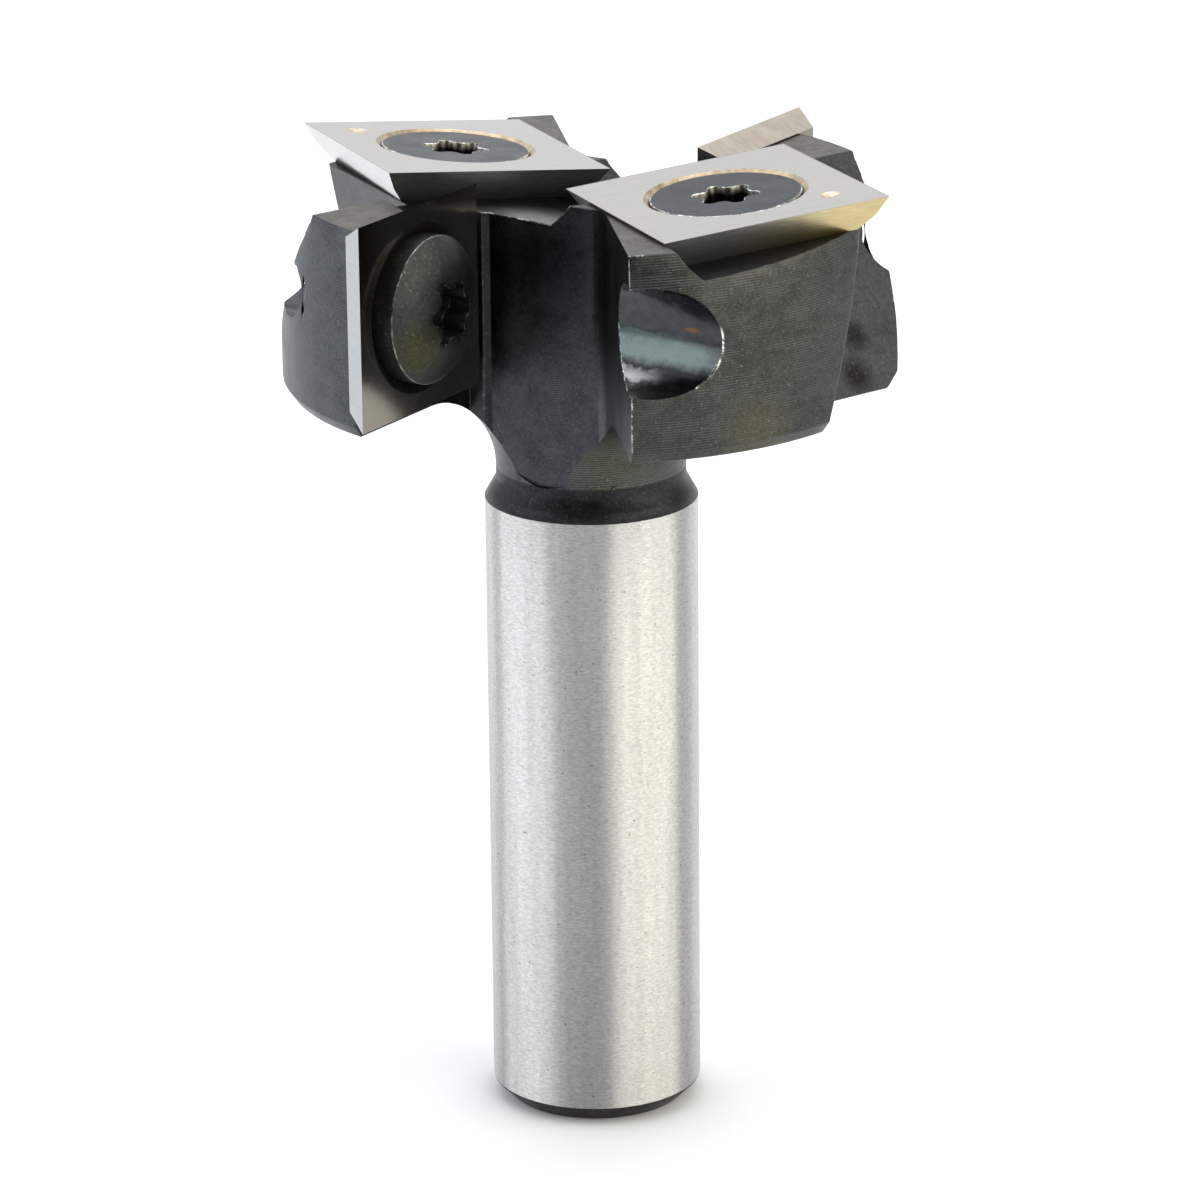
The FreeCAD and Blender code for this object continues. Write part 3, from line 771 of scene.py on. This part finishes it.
def rubbed(point, normal):
    """True where the photograph shows the head's corners rubbed bright."""
    p = point if point.y < 0 else Vector((-point.x, -point.y, point.z))
    edge_reach, lip_reach, heading_reach = 0.35, 0.3, 0.03
    off_bore = math.hypot(p.y + BORE_OFFSET, p.z - BORE_HEIGHT)
    at_mouth = p.x > BORE_OUTER_MOUTH or p.x < BORE_INNER_MOUTH
    bore_lip = abs(off_bore - BORE_RADIUS) < lip_reach and at_mouth and p.z < BORE_HEIGHT
    leading_edge = (radius_of(p) > HEAD_WALL_RADIUS and p.z > HEAD_CHAMFER_TOP + 0.2
                    and abs(math.atan2(p.y, p.x) - LEADING_EDGE_HEADING) < heading_reach)
    leading_top = p.z > HEAD_TOP - 0.4 and abs(LEADING_WALL.dot(p)) < edge_reach
    gullet_lip = (abs(p.y + GULLET_FLOOR) < edge_reach and GULLET_LIP_LEFT < p.x < GULLET_LIP_RIGHT
                  and p.z > GULLET_LIP_HEIGHT)
    return bore_lip or leading_edge or leading_top or gullet_lip


def on_neck_edge(point, normal):
    return point.z < NECK_BAND_TOP + SLACK


def dress_body():
    """The shank, the neck and the head, each face with the finish of the tool that made it."""
    piece = joined_copy("cutter_body", "body_shell")
    worn, neck, turned = worn_edge(), neck_black(), turned_black()
    paint(piece, [
        (foot_black(), on_foot),
        (ground_shank(), on_shank),
        (neck, on_neck_band),
        (bore_black(), in_bore),
        (ground_top(), on_wing_top),
        (milled_black(), on_gullet_floor),
        (neck, on_gullet_corner),
        (turned, on_turned_wall),
        (wall_black(), everywhere),
    ])
    round_edges(piece, BODY_ROUNDING, worn)
    paint(piece, [
        (worn, rubbed),
        (neck, on_neck_edge),
        (turned, below_wall),
        (soft_edge(), everywhere),
    ], over=worn)
    smooth(piece)
    hand_over(piece, "cutter_body")


# The inserts and their screws

class EndSeat:
    """An end insert's own frame: its middle, and the turn into it, with Z square to its face."""

    def __init__(self, number):
        half_turn = Matrix.Rotation(0 if number == 1 else math.pi, 3, "Z")
        turn = half_turn @ Matrix.Rotation(-END_HEADING, 3, "Z") @ Matrix.Rotation(END_TILT, 3, "X")
        self.middle = half_turn @ END_CENTRE
        self.back = turn.transposed()
        self.mapping = (self.middle, self.back.to_euler())

    def point(self, point):
        """A point of the part, in millimetres, in the seat's frame."""
        return self.back @ (point - self.middle)

    def normal(self, normal):
        return self.back @ normal

    def radius(self, point):
        """How far a point is from the screw's axis."""
        return math.hypot(*self.point(point).xy)


def dress_end_insert(number):
    """An end insert: its face, its relief faces, the screw's seat and the index dimple."""
    seat = EndSeat(number)
    dimple = Vector((DIMPLE_OFFSET, DIMPLE_OFFSET))
    warm_painted_reflection = (1.0, 0.82, 0.45)
    piece = joined_copy(f"end_insert_{number}", f"end_insert_shell_{number}")
    face = carbide_face(f"carbide_end_{number}", (0, 0, END_HEADING), 0.48, 0.26, painted_edge_line=seat.mapping)
    plain = carbide_bevel(f"carbide_bevel_{number}", *seat.mapping, (0.54, 0.54, 0.54),
                          (0.67, 0.67, 0.67), 0.32)
    # Painted dark reflection: the inner relief faces are a darker copy of the bevel.
    inner_painted_dark = carbide_bevel(f"inner_bevel_painted_dark_{number}", *seat.mapping, (0.27, 0.275, 0.275),
                          (0.39, 0.395, 0.39), 0.42)
    # The outer relief faces carry a painted straw reflection.
    outer = carbide_bevel(f"outer_bevel_{number}", *seat.mapping, (0.50, 0.50, 0.49),
                          (0.68, 0.68, 0.66), 0.42, warm_painted_reflection)
    paint(piece, [
        (dimple_finish, lambda p, n: (seat.point(p).xy - dimple).length < DIMPLE_REACH),
        (end_sink_finish, lambda p, n: seat.radius(p) < END_SINK_RADIUS and seat.normal(n).z < SQUARE_ON),
        (face, lambda p, n: abs(seat.normal(n).z) > SQUARE_ON),
        (outer, lambda p, n: seat.normal(n).x > SLANTED),
        (inner_painted_dark, lambda p, n: seat.normal(n).x < -SLANTED),
        (plain, everywhere),
    ])
    smooth(piece, 25)
    hand_over(piece, f"end_insert_{number}")


def dress_side_insert(number):
    """A side insert, standing with its face towards the gullet."""
    side = 1 if number == 1 else -1
    piece = joined_copy(f"side_insert_{number}", f"side_insert_shell_{number}")

    def in_sink(point, normal):
        off_axis = math.hypot(point.y + side * BORE_OFFSET, point.z - BORE_HEIGHT)
        return off_axis < SIDE_SINK_RADIUS and abs(normal.x) < SQUARE_ON

    paint(piece, [
        (side_sink_shaded, in_sink),
        (side_face_finish, lambda p, n: abs(n.x) > SQUARE_ON),
        (top_relief_finish, lambda p, n: n.z > SLANTED),
        (side_relief_finish, everywhere),
    ])
    smooth(piece, 25)
    hand_over(piece, f"side_insert_{number}")


def dress_end_screw(number):
    """A flat-headed screw whose socket and rim the driver has rubbed."""
    seat = EndSeat(number)
    piece = joined_copy(f"end_screw_{number}", f"end_screw_{number}_shell")

    def in_socket(point, normal):
        in_depth = SOCKET_FLOOR < seat.point(point).z < SOCKET_MOUTH
        return seat.radius(point) < SOCKET_REACH and in_depth and abs(seat.normal(normal).z) < SOCKET_WALL

    paint(piece, [
        (socket_steel(number, *seat.mapping), in_socket),
        (screw_black(number, *seat.mapping), everywhere),
    ])
    round_edges(piece, SOCKET_ROUNDING, screw_rim_finish, 35, lambda p: seat.radius(p) < SOCKET_LIP_REACH)
    round_edges(piece, RIM_ROUNDING, screw_rim_finish, 60, lambda p: seat.radius(p) > RIM_START)
    smooth(piece)
    hand_over(piece, f"end_screw_{number}")


def dress_side_screw(number):
    """A domed screw, standing proud of its insert."""
    piece = joined_copy(f"side_screw_{number}", f"side_screw_{number}_shell")
    paint(piece, [(dome_finish, everywhere)])
    round_edges(piece, DOME_ROUNDING, dome_rim_finish, 35)
    smooth(piece)
    hand_over(piece, f"side_screw_{number}")


# The finishes that both halves share
side_face_finish = carbide_face("carbide_side", (0, math.radians(90), 0.6), 0.26, 0.14,
                                (1.0, 0.90, 0.77))
side_relief_finish = carbide_bevel("side_relief", ORIGIN, NO_TURN, (0.38, 0.385, 0.395),
                                   (0.46, 0.465, 0.48))
top_relief_finish = side_relief_top()
dimple_finish = carbide_sink("index_dimple", (0.34, 0.26, 0.18), (0.58, 0.53, 0.45))
end_sink_finish = carbide_sink("end_sink", (0.26, 0.18, 0.10), (0.56, 0.47, 0.34))
# Painted shade: the sink under a domed screw is near black.
side_sink_shaded = carbide_sink("side_sink_painted_shade", (0.04, 0.037, 0.03), (0.09, 0.083, 0.07))
screw_rim_finish = screw_rim("screw_rim", (0.08, 0.08, 0.08), (0.85, 0.83, 0.80))
dome_rim_finish = screw_rim("dome_rim", (0.05, 0.05, 0.048), (0.25, 0.245, 0.22))
dome_finish = dome_black()

dress_body()
for number in (1, 2):
    dress_end_insert(number)
    dress_side_insert(number)
    dress_end_screw(number)
    dress_side_screw(number)


# The studio

def paper_floor():
    """A plain pale floor, three metres round the bit."""
    deselect_all()
    bpy.ops.mesh.primitive_circle_add(vertices=96, radius=3.0, fill_type="NGON", location=ORIGIN)
    sweep = bpy.context.object
    sweep.name = "studio_floor"
    finish = Finish("studio_paper", 0.7, metallic=0.0)
    cloud = finish.noise(finish.place(), 0.02, 2.0, 0.5)
    finish.colour(finish.blend(cloud, (0.73, 0.745, 0.775), (0.75, 0.765, 0.795)))
    sweep.data.materials.append(finish.material)


def softbox(name, azimuth, elevation, distance, width, height, glow, colour=(1, 1, 1)):
    """A rectangular light of even glow, sized and placed in metres, that faces the bit.
    Its azimuth is from the camera's, anticlockwise, in degrees."""
    turn = math.atan2(CAMERA_PLACE[1], CAMERA_PLACE[0]) + math.radians(azimuth)
    rise = math.radians(elevation)
    target = Vector((0, 0, AIM_HEIGHT * MM))
    away = Vector((math.cos(turn) * math.cos(rise), math.sin(turn) * math.cos(rise), math.sin(rise)))
    lamp = bpy.data.lights.new(name, "AREA")
    lamp.shape = "RECTANGLE"
    lamp.size, lamp.size_y = width, height
    lamp.energy = glow * math.pi * width * height
    lamp.color = colour
    box = bpy.data.objects.new(name, lamp)
    box.location = target + away * distance
    box.rotation_euler = away.to_track_quat("Z", "Y").to_euler()
    bpy.context.scene.collection.objects.link(box)


def surroundings(strength):
    """An even white glow from all round."""
    world = bpy.data.worlds.new("studio_air")
    world.use_nodes = True
    air = world.node_tree.nodes["Background"]
    air.inputs["Color"].default_value = (1, 1, 1, 1)
    air.inputs["Strength"].default_value = strength
    bpy.context.scene.world = world


def camera():
    """The camera that took the photograph."""
    lens = bpy.data.cameras.new("photo_camera")
    lens.sensor_width = SENSOR
    lens.lens = SENSOR * FOCAL_PIXELS / PHOTO_WIDTH
    lens.clip_start = 0.01
    lens.clip_end = 20
    eye = bpy.data.objects.new("photo_camera", lens)
    eye.location = [c * MM for c in CAMERA_PLACE]
    eye.rotation_euler = [math.radians(a) for a in CAMERA_TURN]
    bpy.context.scene.collection.objects.link(eye)
    bpy.context.scene.camera = eye


paper_floor()
softbox("key_right", azimuth=62, elevation=30, distance=0.7, width=1.12, height=0.75, glow=2.75,
        colour=(1.0, 0.96, 0.82))
softbox("fill_left", azimuth=-84, elevation=30, distance=0.7, width=0.86, height=0.75, glow=2.3,
        colour=(0.96, 0.985, 1.0))
softbox("overhead", azimuth=180, elevation=72, distance=0.8, width=0.9, height=0.9, glow=2.6)
softbox("back_sweep", azimuth=180, elevation=22, distance=0.7, width=1.9, height=0.6, glow=1.0)
surroundings(0.12)
bpy.context.scene.view_settings.view_transform = "Standard"
camera()
